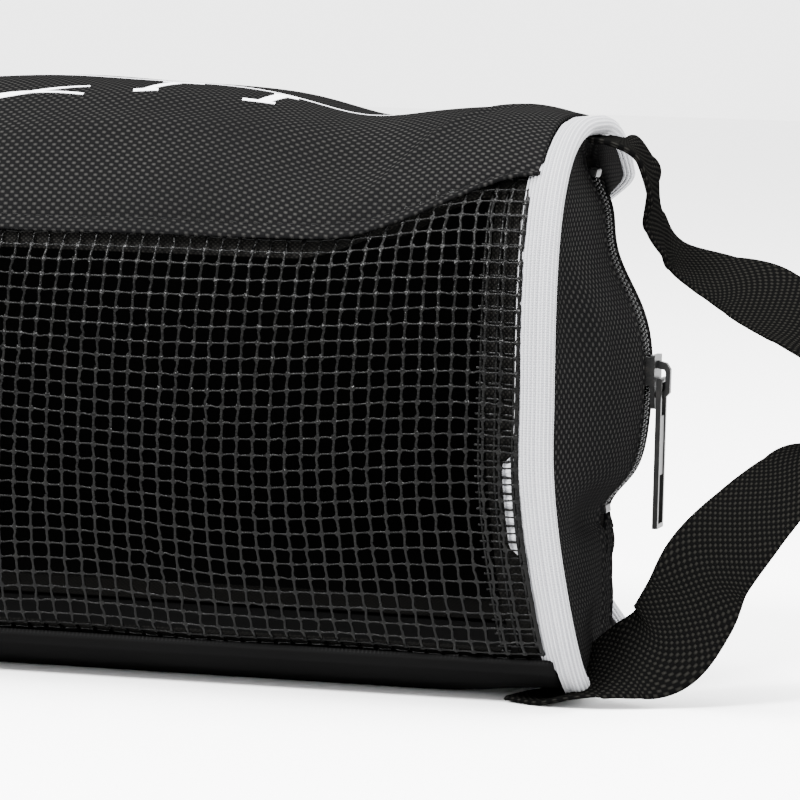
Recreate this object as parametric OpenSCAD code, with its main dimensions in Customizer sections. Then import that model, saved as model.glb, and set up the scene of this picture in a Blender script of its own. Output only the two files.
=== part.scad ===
// Soft golf shoe bag lying on its long side: mesh and nylon body, piped ends,
// a zip across one end and a webbing carrying handle over that end.
// X runs along the length with the zip end at +X, -Y is the mesh side, +Z is up.
// The bag rests on Z = 0.

/* [Body] */
// Length from one end seam to the other, mm
body_l = 350; // [280:5:420]
// Width across the mesh side and the nylon side at their fullest, mm
body_w = 130; // [104:2:160]
// Height of the fabric at the piped ends, mm
body_h = 168; // [140:2:200]
// How much higher the roof stands half way along, mm
roof_rise = 7; // [2:0.5:12]
// How much wider each side stands half way along, mm
side_rise = 2; // [0:0.5:5]
// Thickness of the fabric panels with their lining, mm
wall = 1.6; // [1.2:0.1:2.4]
// Squareness of the upper half of the section, 2 is round
n_top = 2.8; // [2.2:0.1:3.6]
// Squareness of the lower half of the section, 2 is round
n_low = 3.2; // [2.4:0.1:4]

/* [Seams] */
// Height of the seam between mesh and roof half way along, mm
seam_z = 134; // [110:1:160]
// Height by which that seam climbs to reach the piped ends, mm
seam_climb = 20; // [0:1:26]
// Height of the seam between mesh and floor, mm
hem_z = 12; // [9:0.5:20]
// Gap left between two neighbouring panels, mm
gap = 0.4; // [0.35:0.05:0.6]
// Gap left between a panel and a band or tape laid over it, mm
gap_band = 0.65; // [0.5:0.05:0.8]
// Width of the binding tapes inside the seams, mm
binding_w = 14; // [8:1:20]
// Thickness of the binding tapes, mm
binding_t = 0.9; // [0.6:0.1:1.4]

/* [Piping] */
// Diameter of the round piping cord in its cover, mm
cord_d = 5.5; // [4:0.1:7]
// Width of the flat flange beside the cord, mm
flange_w = 3.7; // [3:0.1:6]
// Thickness of the flange, mm
flange_t = 1; // [0.7:0.1:1.5]
// How far the lower part of each end leans outwards, mm
lean_low = 3; // [0:0.5:6]
// How far the end of the floor lifts off the table, mm
foot_lift = 4.5; // [4:0.25:7]

/* [Zip] */
// Radius of the bow in which the zip runs over the end, mm
zip_r = 140; // [120:1:200]
// How far the zip stands out past the end seam at its fullest, mm
zip_out = 13; // [9:0.5:16]
// Angle of travel of the slider above its resting place, degrees
zip_up = 22; // [15:1:24]
// Angle of travel of the slider below its resting place, degrees
zip_down = 12; // [6:1:14]
// Diameter of one row of the zip coil, mm
coil_d = 2.2; // [1.8:0.1:2.6]
// Width of one zip tape, mm
tape_w = 13.4; // [10:0.2:16]
// Thickness of the zip tape, mm
tape_t = 0.8; // [0.5:0.1:1.2]

/* [Slider] */
// Length of the slider body, mm
slider_l = 16; // [12:0.5:18]
// Width of the slider body, mm
slider_w = 10.8; // [9.6:0.1:11]
// Length of the puller from its hinge to its tip, mm
pull_l = 44; // [30:1:46]
// Width of the puller, mm
pull_w = 9; // [7:0.2:10]
// Thickness of the puller and of the bar it turns on, mm
pull_t = 1.6; // [1.2:0.1:2]

/* [Handle] */
// Width of the webbing, mm
strap_w = 30; // [20:1:34]
// Thickness of the webbing, mm
strap_t = 1.8; // [1.2:0.1:2.2]
// How far the handle loop reaches past the end seam, mm
strap_reach = 82; // [70:1:95]

/* [Hidden] */
half_l = body_l / 2;
half_w = body_w / 2;
mid_z = 80 / 168 * body_h;
sag = 1.5;
run = 0.3;
cord_r = cord_d / 2;
cord_in = 0.8;
rim = cord_d + gap;
inner_d = cord_in + cord_r + gap;
end_w = body_w / 2;
coil_y = 2.5;
coil_x = 0.7;
tape_y = 1.6;
edge_y = 6;
zip_z = 92 / 168 * body_h;
zip_x = half_l + zip_out;
stop_a = slider_l / 2 / zip_r * 57.3 + 0.25;
track_up = zip_up + stop_a;
track_down = zip_down + stop_a;
tape_up = track_up + 2.6;
tape_down = track_down + 3.6;
hinge_x = 5;
hinge_z = 0.5;
col_white = [0.93, 0.93, 0.9];
col_black = [0.07, 0.07, 0.075];
col_grey = [0.2, 0.2, 0.21];
col_metal = [0.32, 0.32, 0.33];
nu = 30;

// ---- the section of the bag and where a point of its skin lies ----
function clamp01(v) = max(0, min(1, v));
function ease(v) = let (c = clamp01(v)) c * c * (3 - 2 * c);
function spow(v, p) = sign(v) * pow(abs(v), p);
function mix(a, b, k) = a + (b - a) * k;
function unit(v) = v / norm(v);
function fill(u) = 1 - u * u;
function wide(u) = half_w + side_rise * fill(u);
function roof(u) = body_h + roof_rise * fill(u);
function foot(u) = foot_lift * ease((abs(u) - 0.72) / 0.28);
function lean(z) = lean_low * ease((mid_z - z) / mid_z) - 2 * ease((z - mid_z) / (body_h - mid_z));
// a point of the skin at angle t, fraction u of the length, depth d under the surface
function skin_yz(t, u, d) =
  let (up = sin(t) >= 0)
  let (n = up ? n_top : n_low)
  let (h = up ? roof(u) - d - mid_z : mid_z + sag - d)
  let (y = (wide(u) - d) * spow(cos(t), 2 / n))
  let (z = mid_z + h * spow(sin(t), 2 / n))
  [y, max(z, foot(u) + d)];
function skin_pt(t, u, d, cut) =
  let (p = skin_yz(t, u, d))
  [u * (half_l - cut + lean(p[1])), p[0], p[1]];
// a point of the end outline, with x measured from the end seam towards the middle
function end_pt(t, s, d, back) =
  let (p = skin_yz(t, s, d))
  [s * (half_l - back + lean(p[1])), p[0], p[1]];

// angles of the four long seams, shifted up by dz
function roof_seam_z(u) = seam_z * body_h / 168 + seam_climb * ease((abs(u) - 0.62) / 0.38);
function roof_a(u, dz) = asin(pow((roof_seam_z(u) + dz - mid_z) / (roof(u) - mid_z), n_top / 2));
function low_a(u, dz) = asin(pow((mid_z - hem_z - dz) / (mid_z + sag), n_low / 2));
function seam_t(k, u, dz) =
  k == 0 ? -low_a(u, dz) : k == 1 ? roof_a(u, dz) : k == 2 ? 180 - roof_a(u, dz) :
  k == 3 ? 180 + low_a(u, dz) : 360 - low_a(u, dz);

// ---- solids from rows of points ----
function quad(a, b, c, d) = [[a, b, c], [a, c, d]];
module rows(L, closed = false) {
  n = len(L);
  m = len(L[0]);
  pts = [for (r = L) each r];
  last = closed ? n - 1 : n - 2;
  side = [for (i = [0:last]) for (j = [0:m - 1])
    let (i2 = (i + 1) % n, j2 = (j + 1) % m)
    each quad(i * m + j, i2 * m + j, i2 * m + j2, i * m + j2)];
  cap_a = closed ? [] : [for (j = [0:m / 2 - 2])
    each quad(j, j + 1, m - 2 - j, m - 1 - j)];
  o = (n - 1) * m;
  cap_b = closed ? [] : [for (j = [0:m / 2 - 2])
    each quad(o + m - 1 - j, o + m - 2 - j, o + j + 1, o + j)];
  polyhedron(points = pts, faces = concat(side, cap_a, cap_b), convexity = 8);
}

// a strip of the skin between two seams
module strip(ka, kb, dza, dzb, d0, d1, nt, cut) {
  rows([for (i = [0:nu])
    let (u = -1 + 2 * i / nu)
    let (ta = seam_t(ka, u, dza), tb = seam_t(kb, u, dzb))
    concat(
      [for (j = [0:nt]) skin_pt(mix(ta, tb, j / nt), u, d0, cut)],
      [for (j = [nt:-1:0]) skin_pt(mix(ta, tb, j / nt), u, d1, cut)])]);
}

// a flat band round the body, s is the end it belongs to, d0 is the deeper face
module band(s, back0, back1, d0, d1) {
  nt = 72;
  rows([for (i = [0:nt - 1])
    let (t = 360 * i / nt * s)
    [end_pt(t, s, d0, back1), end_pt(t, s, d0, back0),
     end_pt(t, s, d1, back0), end_pt(t, s, d1, back1)]], closed = true);
}

// the round cord of an end
module ring(s, back) {
  nt = 72;
  nc = 12;
  rows([for (i = [0:nt - 1])
    let (t = 360 * i / nt)
    let (p = end_pt(t, s, cord_in, back))
    let (q = end_pt(t + 1.5, s, cord_in, back) - end_pt(t - 1.5, s, cord_in, back))
    let (o = unit([0, q[2], -q[1]]))
    [for (k = [0:nc - 1])
      let (a = -360 * k / nc)
      p + cord_r * (cos(a) * o + sin(a) * [1, 0, 0])]], closed = true);
}

// ---- the two end panels ----
function end_half_w(z, d) =
  let (up = z >= mid_z)
  let (n = up ? n_top : n_low)
  let (h = up ? body_h - d - mid_z : mid_z + sag - d)
  (half_w - d) * pow(max(0.0001, 1 - pow(abs(z - mid_z) / h, n)), 1 / n);
end_lo = foot_lift + inner_d + 0.4;
end_hi = body_h - inner_d - 1.2;
function arc_x(z) =
  let (r = zip_r)
  let (q = min(r - 1, abs(z - zip_z)))
  zip_x - r + sqrt(r * r - q * q);
function bow_x(z) =
  let (flat = half_l + 2.5)
  let (lo = z < zip_z ? max(arc_x(z), flat) : arc_x(z))
  let (rim_x = half_l - cord_r + lean(z))
  mix(rim_x, max(lo, rim_x), ease((z - end_lo + 4) / 18));
function in_zip(z) =
  let (zt = zip_z + zip_r * sin(tape_up), zb = zip_z - zip_r * sin(tape_down) + 1)
  ease((z - zb) / 3) * ease((zt - z) / 3);
function half_x(y, z) =
  let (rim_x = half_l - cord_r + lean(z))
  let (w = end_half_w(z, inner_d))
  let (q = clamp01((abs(y) - tape_y - tape_w - 1) / max(1, w - tape_y - tape_w - 1)))
  mix(bow_x(z) + 1.3, rim_x, q * q);
// s picks the side, -1 near and 1 far
module end_half(s) {
  nz = 40;
  ny = 10;
  rows([for (i = [0:nz])
    let (z = mix(end_lo, end_hi, (1 - cos(180 * i / nz)) / 2))
    let (w = max(edge_y + 4, end_half_w(z, inner_d)))
    let (e = mix(run, edge_y, in_zip(z)))
    concat(
      [for (j = [0:ny]) let (y = mix(e, w, j / ny))
        [half_x(y, z) - (s < 0 ? wall : 0), s * y, z]],
      [for (j = [ny:-1:0]) let (y = mix(e, w, j / ny))
        [half_x(y, z) - (s < 0 ? 0 : wall), s * y, z]])]);
}

// the closed end, a gently domed panel, and the stiffener behind it
module plain_end(x_rim, x_mid, thick, d) {
  nz = 26;
  ny = 12;
  lo = foot_lift + d + 0.4;
  hi = body_h - d - 1.2;
  rows([for (i = [0:nz])
    let (z = mix(lo, hi, (1 - cos(180 * i / nz)) / 2))
    let (w = max(8, end_half_w(z, d)))
    let (f = pow(sin(180 * i / nz), 0.7))
    concat(
      [for (j = [0:ny]) let (k = -1 + 2 * j / ny)
        [mix(x_rim - lean(z), x_mid, f * (1 - k * k)) + thick, k * w, z]],
      [for (j = [ny:-1:0]) let (k = -1 + 2 * j / ny)
        [mix(x_rim - lean(z), x_mid, f * (1 - k * k)), k * w, z]])]);
}

// ---- fabric panels ----
module top_panel() {
  color(col_grey)
    strip(1, 2, gap / 2, gap / 2, 0, wall, 18, rim);
}
module mesh_panel() {
  color(col_black)
    strip(2, 3, -gap / 2, gap / 2, 0, wall, 14, rim);
}
module far_side_panel() {
  color(col_black)
    strip(0, 1, gap / 2, -gap / 2, 0, wall, 14, rim);
}
module bottom_panel() {
  color(col_grey)
    strip(3, 4, -gap / 2, -gap / 2, 0, wall, 16, rim);
}
module end_half_near() {
  color(col_grey)
    end_half(-1);
}
module end_half_far() {
  color(col_grey)
    end_half(1);
}
module base_panel() {
  color(col_grey)
    plain_end(-half_l + cord_r, -half_l - 4, wall, inner_d);
}
module base_board() {
  color(col_black)
    plain_end(-half_l + cord_r + wall + 0.5, -half_l - 4 + wall + 0.5, 2, inner_d + 2.5);
}

// ---- piping ----
module zip_piping_cord() {
  color(col_white)
    ring(1, cord_r);
}
module zip_piping_flange() {
  color(col_white)
    band(1, rim - gap / 2, rim + flange_w, -gap_band, -gap_band - flange_t);
}
module base_piping_cord() {
  color(col_white)
    ring(-1, cord_r);
}
module base_piping_flange() {
  color(col_white)
    band(-1, rim - gap / 2, rim + flange_w, -gap_band, -gap_band - flange_t);
}

// ---- binding tapes inside the seams ----
module zip_seam_binding() {
  color(col_black)
    band(1, rim, rim + binding_w, wall + gap_band + binding_t, wall + gap_band);
}
module base_seam_binding() {
  color(col_black)
    band(-1, rim, rim + binding_w, wall + gap_band + binding_t, wall + gap_band);
}
module long_binding(k) {
  top = k == 1 || k == 2;
  up = top ? 5 : 3;
  dn = top ? -5 : -2.5;
  rising = k == 1 || k == 4;
  aa = rising ? dn : up;
  bb = rising ? up : dn;
  cut = rim + binding_w + 1;
  strip(k, k, aa, bb, wall + gap_band, wall + gap_band + binding_t, 4, cut);
}
module roof_binding_near() {
  color(col_black)
    long_binding(2);
}
module roof_binding_far() {
  color(col_black)
    long_binding(1);
}
module floor_binding_near() {
  color(col_black)
    long_binding(3);
}
module floor_binding_far() {
  color(col_black)
    long_binding(4);
}

// ---- zip: everything on the bow is turned about the bow's own centre ----
module on_bow() {
  translate([zip_x - zip_r, 0, zip_z])
    rotate([90, 0, 0])
      children();
}
// a profile drawn as [out from the bow, across], swept from angle a to angle b
module bow_sweep(a, b) {
  on_bow()
    rotate([0, 0, a])
      rotate_extrude(angle = b - a, $fn = 360)
        translate([zip_r, 0])
          children();
}
module zip_tape_near() {
  color(col_black)
    bow_sweep(-tape_down, tape_up)
      translate([coil_x - coil_d / 2 - run - tape_t, tape_y])
        square([tape_t, tape_w]);
}
module zip_tape_far() {
  color(col_black)
    bow_sweep(-tape_down, tape_up)
      translate([coil_x - coil_d / 2 - run - tape_t, -tape_y - tape_w])
        square([tape_t, tape_w]);
}
module zip_coil_near() {
  color(col_black)
    bow_sweep(-track_down, track_up)
      translate([coil_x, coil_y])
        circle(d = coil_d, $fn = 24);
}
module zip_coil_far() {
  color(col_black)
    bow_sweep(-track_down, track_up)
      translate([coil_x, -coil_y])
        circle(d = coil_d, $fn = 24);
}
module stop_at(a) {
  translate([zip_x - zip_r, 0, zip_z])
    rotate([0, -a, 0])
      translate([zip_r + coil_x - coil_d / 2, -coil_y - coil_d / 2, -1])
        cube([coil_d + 0.3, 2 * coil_y + coil_d, 2]);
}
module top_stop() {
  color(col_metal)
    stop_at(track_up + 1.3 / zip_r * 57.3);
}
module bottom_stop() {
  color(col_metal)
    stop_at(-track_down - 1.3 / zip_r * 57.3);
}

// ---- slider, drawn about the middle of the coil at the bow's fullest point ----
plate_in = coil_x + coil_d / 2 + 0.55;
plate_out = plate_in + 1.4;
back_out = coil_x - coil_d / 2 - run - tape_t - 0.6;
back_in = back_out - 1.2;
lip_y = coil_y + coil_d / 2 + 0.55;
module plate(x0, x1) {
  c = 2.2;
  translate([x0, 0, 0])
    rotate([0, 90, 0])
      linear_extrude(x1 - x0)
        polygon([
          [-slider_l / 2, -slider_w / 2 + 0.4], [-slider_l / 2, slider_w / 2 - 0.4],
          [-slider_l / 2 + 0.4, slider_w / 2], [1, slider_w / 2],
          [slider_l / 2 - 0.6, slider_w / 2 - c], [slider_l / 2, slider_w / 2 - c - 0.8],
          [slider_l / 2, -slider_w / 2 + c + 0.8], [slider_l / 2 - 0.6, -slider_w / 2 + c],
          [1, -slider_w / 2], [-slider_l / 2 + 0.4, -slider_w / 2]]);
}
module lip(s) {
  translate([coil_x - coil_d / 2 + 0.2, s > 0 ? lip_y : -slider_w / 2, -1])
    cube([plate_in - coil_x + coil_d / 2, slider_w / 2 - lip_y, slider_l / 2 + 0.5]);
}
module crown() {
  w = 2.2;
  lift = hinge_x + pull_t / 2 + 0.45;
  translate([0, w / 2, 0])
    rotate([90, 0, 0])
      linear_extrude(w)
        polygon([
          [plate_out - 0.2, -5], [lift + 0.2, -4.6], [lift + 1.4, -3.2], [lift + 1.4, 3.8],
          [lift + 0.2, 5.6], [plate_out - 0.2, 6.4], [plate_out - 0.2, 4],
          [lift - 0.4, 3.6], [lift, 2.8], [lift, -2], [lift - 0.4, -2.8],
          [plate_out - 0.2, -3.2]]);
}
module slider_body() {
  color(col_metal)
    translate([zip_x, 0, zip_z])
      union() {
        plate(plate_in, plate_out);
        plate(back_in, back_out);
        lip(1);
        lip(-1);
        translate([back_out - 0.1, -0.85, 1])
          cube([plate_in - back_out + 0.2, 1.7, 5.5]);
        crown();
      }
}
module slider_pull() {
  arm = 1.4;
  color(col_metal)
    translate([zip_x + hinge_x, 0, zip_z + hinge_z])
      union() {
        rotate([90, 0, 0])
          translate([0, 0, -pull_w / 2])
            cylinder(d = pull_t, h = pull_w, $fn = 24);
        translate([-pull_t / 2, -pull_w / 2, -pull_l])
          cube([pull_t, arm, pull_l]);
        translate([-pull_t / 2, pull_w / 2 - arm, -pull_l])
          cube([pull_t, arm, pull_l]);
        translate([-pull_t / 2, -pull_w / 2, -pull_l])
          cube([pull_t, pull_w, arm]);
        translate([-pull_t / 2 + 0.3, -pull_w / 2, -0.64 * pull_l])
          cube([pull_t - 0.6, pull_w, 0.4 * pull_l]);
      }
}

// ---- handle: places along the webbing as x past the end seam, y and z,
// and the direction of its width at each place ----
kz = body_h / 168;
kx = strap_reach / 82;
path = [
  [-2.8, 0, 162.9 * kz], [3, 0, 161.9 * kz], [9.5, 0, 158.8 * kz], [15, 2, 151 * kz],
  [20.5, 8, 142 * kz], [29 * kx, 13, 133.5 * kz], [42 * kx, 16, 125 * kz],
  [57.5 * kx, 15, 113 * kz], [72 * kx, 8, 102 * kz], [81 * kx, -6, 92 * kz],
  [78 * kx, -20, 82 * kz], [67 * kx, -27, 71 * kz], [54 * kx, -28, 57 * kz],
  [41 * kx, -27, 38 * kz], [31, -23, 19 * kz], [19, -17, 6.8], [8, -11, 1.6],
  [-1, -7, 1.2], [-9, -4, 1.2], [-16, -2, 1.2]];
across = [
  [0, 1, 0], [0, 1, 0], [0, 1, 0], [0.1, 0.97, 0.15],
  [0.2, 0.8, 0.5], [0.35, 0.35, 0.84], [0.5, 0.05, 0.86],
  [0.55, 0, 0.83], [0.35, 0.3, 0.87], [0, 0.5, 0.87],
  [-0.35, 0.3, 0.87], [-0.6, 0, 0.8], [-0.68, 0, 0.73],
  [-0.8, 0.1, 0.6], [-0.6, 0.6, 0.5], [0.1, 0.97, 0.12], [0.25, 0.97, 0],
  [0.25, 0.97, 0], [0.2, 0.98, 0], [0.15, 0.98, 0]];
function spline(P, i, k) =
  let (n = len(P) - 1)
  let (a = P[max(0, i - 1)], b = P[i], c = P[min(n, i + 1)], d = P[min(n, i + 2)])
  0.5 * (2 * b + (c - a) * k + (2 * a - 5 * b + 4 * c - d) * k * k
    + (3 * b - a - 3 * c + d) * k * k * k);
function strap_row(f) =
  let (i = min(len(path) - 2, floor(f)), k = f - i)
  let (p = spline(path, i, k))
  let (e = 0.02)
  let (t = unit(spline(path, i, k + e) - spline(path, i, k - e)))
  let (w0 = spline(across, i, k))
  let (w = unit(w0 - (w0 * t) * t))
  let (n = cross(t, w))
  let (c = p + [half_l, 0, 0])
  [c - w * strap_w / 2 - n * strap_t / 2, c + w * strap_w / 2 - n * strap_t / 2,
   c + w * strap_w / 2 + n * strap_t / 2, c - w * strap_w / 2 + n * strap_t / 2];
module strap(a, b, n) {
  rows([for (i = [0:n]) strap_row(mix(a, b, i / n))]);
}
// the moving loop begins and ends a hair away from the sewn ends
f_top = 1.6;
f_low = 15.7;
module handle_strap() {
  color(col_black)
    strap(f_top + 0.12, f_low - 0.08, 72);
}
module strap_anchor_top() {
  color(col_black)
    strap(0, f_top, 6);
}
module strap_anchor_bottom() {
  color(col_black)
    strap(f_low, len(path) - 1, 8);
}

top_panel();
bottom_panel();
mesh_panel();
far_side_panel();
end_half_near();
end_half_far();
base_panel();
base_board();
zip_piping_cord();
zip_piping_flange();
base_piping_cord();
base_piping_flange();
zip_seam_binding();
base_seam_binding();
roof_binding_near();
roof_binding_far();
floor_binding_near();
floor_binding_far();
zip_tape_near();
zip_tape_far();
zip_coil_near();
zip_coil_far();
top_stop();
bottom_stop();
slider_body();
slider_pull();
handle_strap();
strap_anchor_top();
strap_anchor_bottom();
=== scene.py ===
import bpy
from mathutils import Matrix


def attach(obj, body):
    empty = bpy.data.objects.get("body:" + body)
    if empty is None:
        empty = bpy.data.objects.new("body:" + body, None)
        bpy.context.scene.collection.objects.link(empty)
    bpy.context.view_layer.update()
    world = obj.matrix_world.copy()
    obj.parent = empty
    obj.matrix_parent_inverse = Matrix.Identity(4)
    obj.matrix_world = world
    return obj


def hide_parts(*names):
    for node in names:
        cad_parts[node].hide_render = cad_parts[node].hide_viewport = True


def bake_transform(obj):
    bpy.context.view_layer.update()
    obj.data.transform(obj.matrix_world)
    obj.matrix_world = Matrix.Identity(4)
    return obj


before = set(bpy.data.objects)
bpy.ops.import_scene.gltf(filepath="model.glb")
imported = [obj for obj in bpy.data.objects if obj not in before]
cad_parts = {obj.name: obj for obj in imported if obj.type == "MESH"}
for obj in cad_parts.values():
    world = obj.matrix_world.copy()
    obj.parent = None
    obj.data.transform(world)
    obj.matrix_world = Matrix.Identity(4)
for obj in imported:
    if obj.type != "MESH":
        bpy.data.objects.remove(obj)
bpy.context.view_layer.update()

import math

import bpy
import numpy as np
from mathutils import Matrix, Vector

MM = 0.001
rng = np.random.default_rng(7)

# ---------------------------------------------------------------------------
# FLOOR PANEL
# Smooth black nylon, cut as one strip and sewn first: the bag lies on it.
# The section of the whole body is worked out here, because every later panel follows it.
# ---------------------------------------------------------------------------
HALF_L, HALF_W, BODY_H = 175.0, 65.0, 168.0
ROOF_RISE, SIDE_RISE, MID_Z, SAG = 7.0, 2.0, 80.0, 1.5
N_TOP, N_LOW = 2.8, 3.2
SEAM_Z, SEAM_CLIMB, HEM_Z = 134.0, 20.0, 12.0
CORD_R, RIM, FOOT_LIFT, LEAN_LOW = 2.75, 5.9, 4.5, 8.0
CLOTH = 1.1  # thickness of the drawn cloth
TUCK = 7.9  # how far the ends of the floor and the roof lie back under the piping


def ease(v):
    """Smooth step from 0 to 1 as v goes from 0 to 1."""
    c = np.clip(v, 0, 1)
    return c * c * (3 - 2 * c)


def spow(v, p):
    """A signed power: the size of v to the power p, with v's own sign."""
    return np.sign(v) * np.abs(v) ** p


def lean(z):
    """How far an end leans outwards at height z."""
    return LEAN_LOW * ease((MID_Z - z) / MID_Z) - 2 * ease((z - MID_Z) / (BODY_H - MID_Z))


def cave(y, z):
    """How far the far side of the zip end has sunk in, as an empty bag's does."""
    return 15.5 * ease((y - 4) / 44) * ease((z - 1) / 24) * ease((152 - z) / 17)


def foot(u):
    """Height by which the floor lifts off the table near the ends."""
    return FOOT_LIFT * ease((np.abs(u) - 0.72) / 0.28)


def skin_yz(t, u, d):
    """Section point at angle t in degrees and length fraction u, d below the surface:
    a superellipse squarer below than above, its lowest part cut flat."""
    t, u, d = np.broadcast_arrays(np.asarray(t, float), np.asarray(u, float), np.asarray(d, float))
    s, c = np.sin(np.radians(t)), np.cos(np.radians(t))
    up = s >= 0
    n = np.where(up, N_TOP, N_LOW)
    fill = 1 - u * u
    h = np.where(up, BODY_H + ROOF_RISE * fill - d - MID_Z, MID_Z + SAG - d)
    y = (HALF_W + SIDE_RISE * fill - d) * spow(c, 2 / n)
    z = np.maximum(MID_Z + h * spow(s, 2 / n), foot(u) + d)
    return y, z


def skin(t, u, d, back=RIM):
    """A point of the body's skin, as an array ending in x, y, z, in millimetres."""
    y, z = skin_yz(t, u, d)
    u = np.broadcast_to(np.asarray(u, float), y.shape)
    return np.stack([u * (HALF_L - back + lean(z)) - cave(y, z) * ease((u - 0.45) / 0.55), y, z], -1)


def seam_z(u):
    """Height of the seam under the roof: level along the middle, climbing towards each end."""
    return SEAM_Z + SEAM_CLIMB * ease((np.abs(u) - 0.62) / 0.38)


def roof_t(u, dz=0.0):
    """Angle of the far roof seam shifted up by dz; the near one is its mirror."""
    top = BODY_H + ROOF_RISE * (1 - u * u) - MID_Z
    return np.degrees(np.arcsin(np.clip((seam_z(u) + dz - MID_Z) / top, 0, 1) ** (N_TOP / 2)))


def hem_t(u, dz=0.0):
    """Angle below the horizontal of the floor seam shifted up by dz."""
    return np.degrees(np.arcsin(np.clip((MID_Z - HEM_Z - dz) / (MID_Z + SAG), 0, 1) ** (N_LOW / 2)))


def grid_faces(ni, nj, wrap_i=False, wrap_j=False, start=0):
    """Quads of a grid of ni by nj points; wrap closes it on itself that way."""
    i = np.arange(ni if wrap_i else ni - 1)
    j = np.arange(nj if wrap_j else nj - 1)
    a, b = np.meshgrid(i, j, indexing="ij")
    c, d = (a + 1) % ni, (b + 1) % nj
    q = np.stack([a * nj + b, c * nj + b, c * nj + d, a * nj + d], -1)
    return q.reshape(-1, 4) + start


def new_mesh(name, verts, faces, uv=None, smooth=True):
    """A mesh object from points in millimetres and quads, with a UV map in millimetres if given."""
    me = bpy.data.meshes.new(name)
    verts = np.asarray(verts, np.float32).reshape(-1, 3) * MM
    faces = np.asarray(faces, np.int32)
    me.vertices.add(len(verts))
    me.vertices.foreach_set("co", verts.ravel())
    me.loops.add(faces.size)
    me.loops.foreach_set("vertex_index", faces.ravel())
    me.polygons.add(len(faces))
    k = faces.shape[1]
    me.polygons.foreach_set("loop_start", np.arange(0, faces.size, k, dtype=np.int32))
    me.polygons.foreach_set("loop_total", np.full(len(faces), k, np.int32))
    me.polygons.foreach_set("use_smooth", np.full(len(faces), smooth))
    if uv is not None:
        layer = me.uv_layers.new(name="UVMap")
        layer.data.foreach_set("uv", np.asarray(uv, np.float32).reshape(-1, 2)[faces.ravel()].ravel())
    me.validate()
    me.update()
    ob = bpy.data.objects.new(name, me)
    bpy.context.scene.collection.objects.link(ob)
    return ob


def arc_uv(P):
    """UV of a grid of points: distance travelled along each of its two ways, in millimetres."""
    du = np.linalg.norm(np.diff(P, axis=0), axis=-1).mean(1)
    dv = np.linalg.norm(np.diff(P, axis=1), axis=-1)
    u = np.concatenate([[0], np.cumsum(du)])
    v = np.concatenate([np.zeros((len(P), 1)), np.cumsum(dv, 1)], 1)
    v = v - v[:, v.shape[1] // 2][:, None]
    return np.stack([np.broadcast_to(u[:, None], v.shape), v], -1)


def closed_sheet(outer, inner):
    """Points and faces of a closed sheet between two grids of the same size, the outer one seen
    from outside with its first way running to the right when its second runs up."""
    ni, nj = outer.shape[:2]
    n = ni * nj
    top = grid_faces(ni, nj)
    low = grid_faces(ni, nj, start=n)[:, ::-1]
    i, j = np.arange(ni), np.arange(nj)
    rim = np.concatenate([i * nj, (ni - 1) * nj + j[1:], (i[:-1] * nj + nj - 1)[::-1], j[1:-1][::-1]])
    nxt = np.roll(rim, -1)
    edge = np.stack([nxt, rim, rim + n, nxt + n], -1)
    return np.concatenate([outer.reshape(-1, 3), inner.reshape(-1, 3)]), np.concatenate([top, low, edge])


def shell(name, outer, inner):
    """A closed sheet as an object, both of its sides with the UV of the outer one."""
    uv = arc_uv(outer).reshape(-1, 2)
    return new_mesh(name, *closed_sheet(outer, inner), np.concatenate([uv, uv]))


class Sock:
    """A shader value with arithmetic, each step one Math node."""

    def __init__(self, tree, out):
        self.tree, self.out = tree, out

    def math(self, op, *others):
        """Any Math operation on this value and up to two more, sockets or numbers."""
        n = self.tree.nodes.new("ShaderNodeMath")
        n.operation = op
        for k, v in enumerate((self, *others)):
            if isinstance(v, Sock):
                self.tree.links.new(v.out, n.inputs[k])
            else:
                n.inputs[k].default_value = v
        return Sock(self.tree, n.outputs[0])

    def __add__(self, o):
        return self.math("ADD", o)

    def __sub__(self, o):
        return self.math("SUBTRACT", o)

    def __mul__(self, o):
        return self.math("MULTIPLY", o)

    def __truediv__(self, o):
        return self.math("DIVIDE", o)

    def __rsub__(self, o):
        return (self * -1.0) + o

    __radd__ = __add__
    __rmul__ = __mul__


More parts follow.
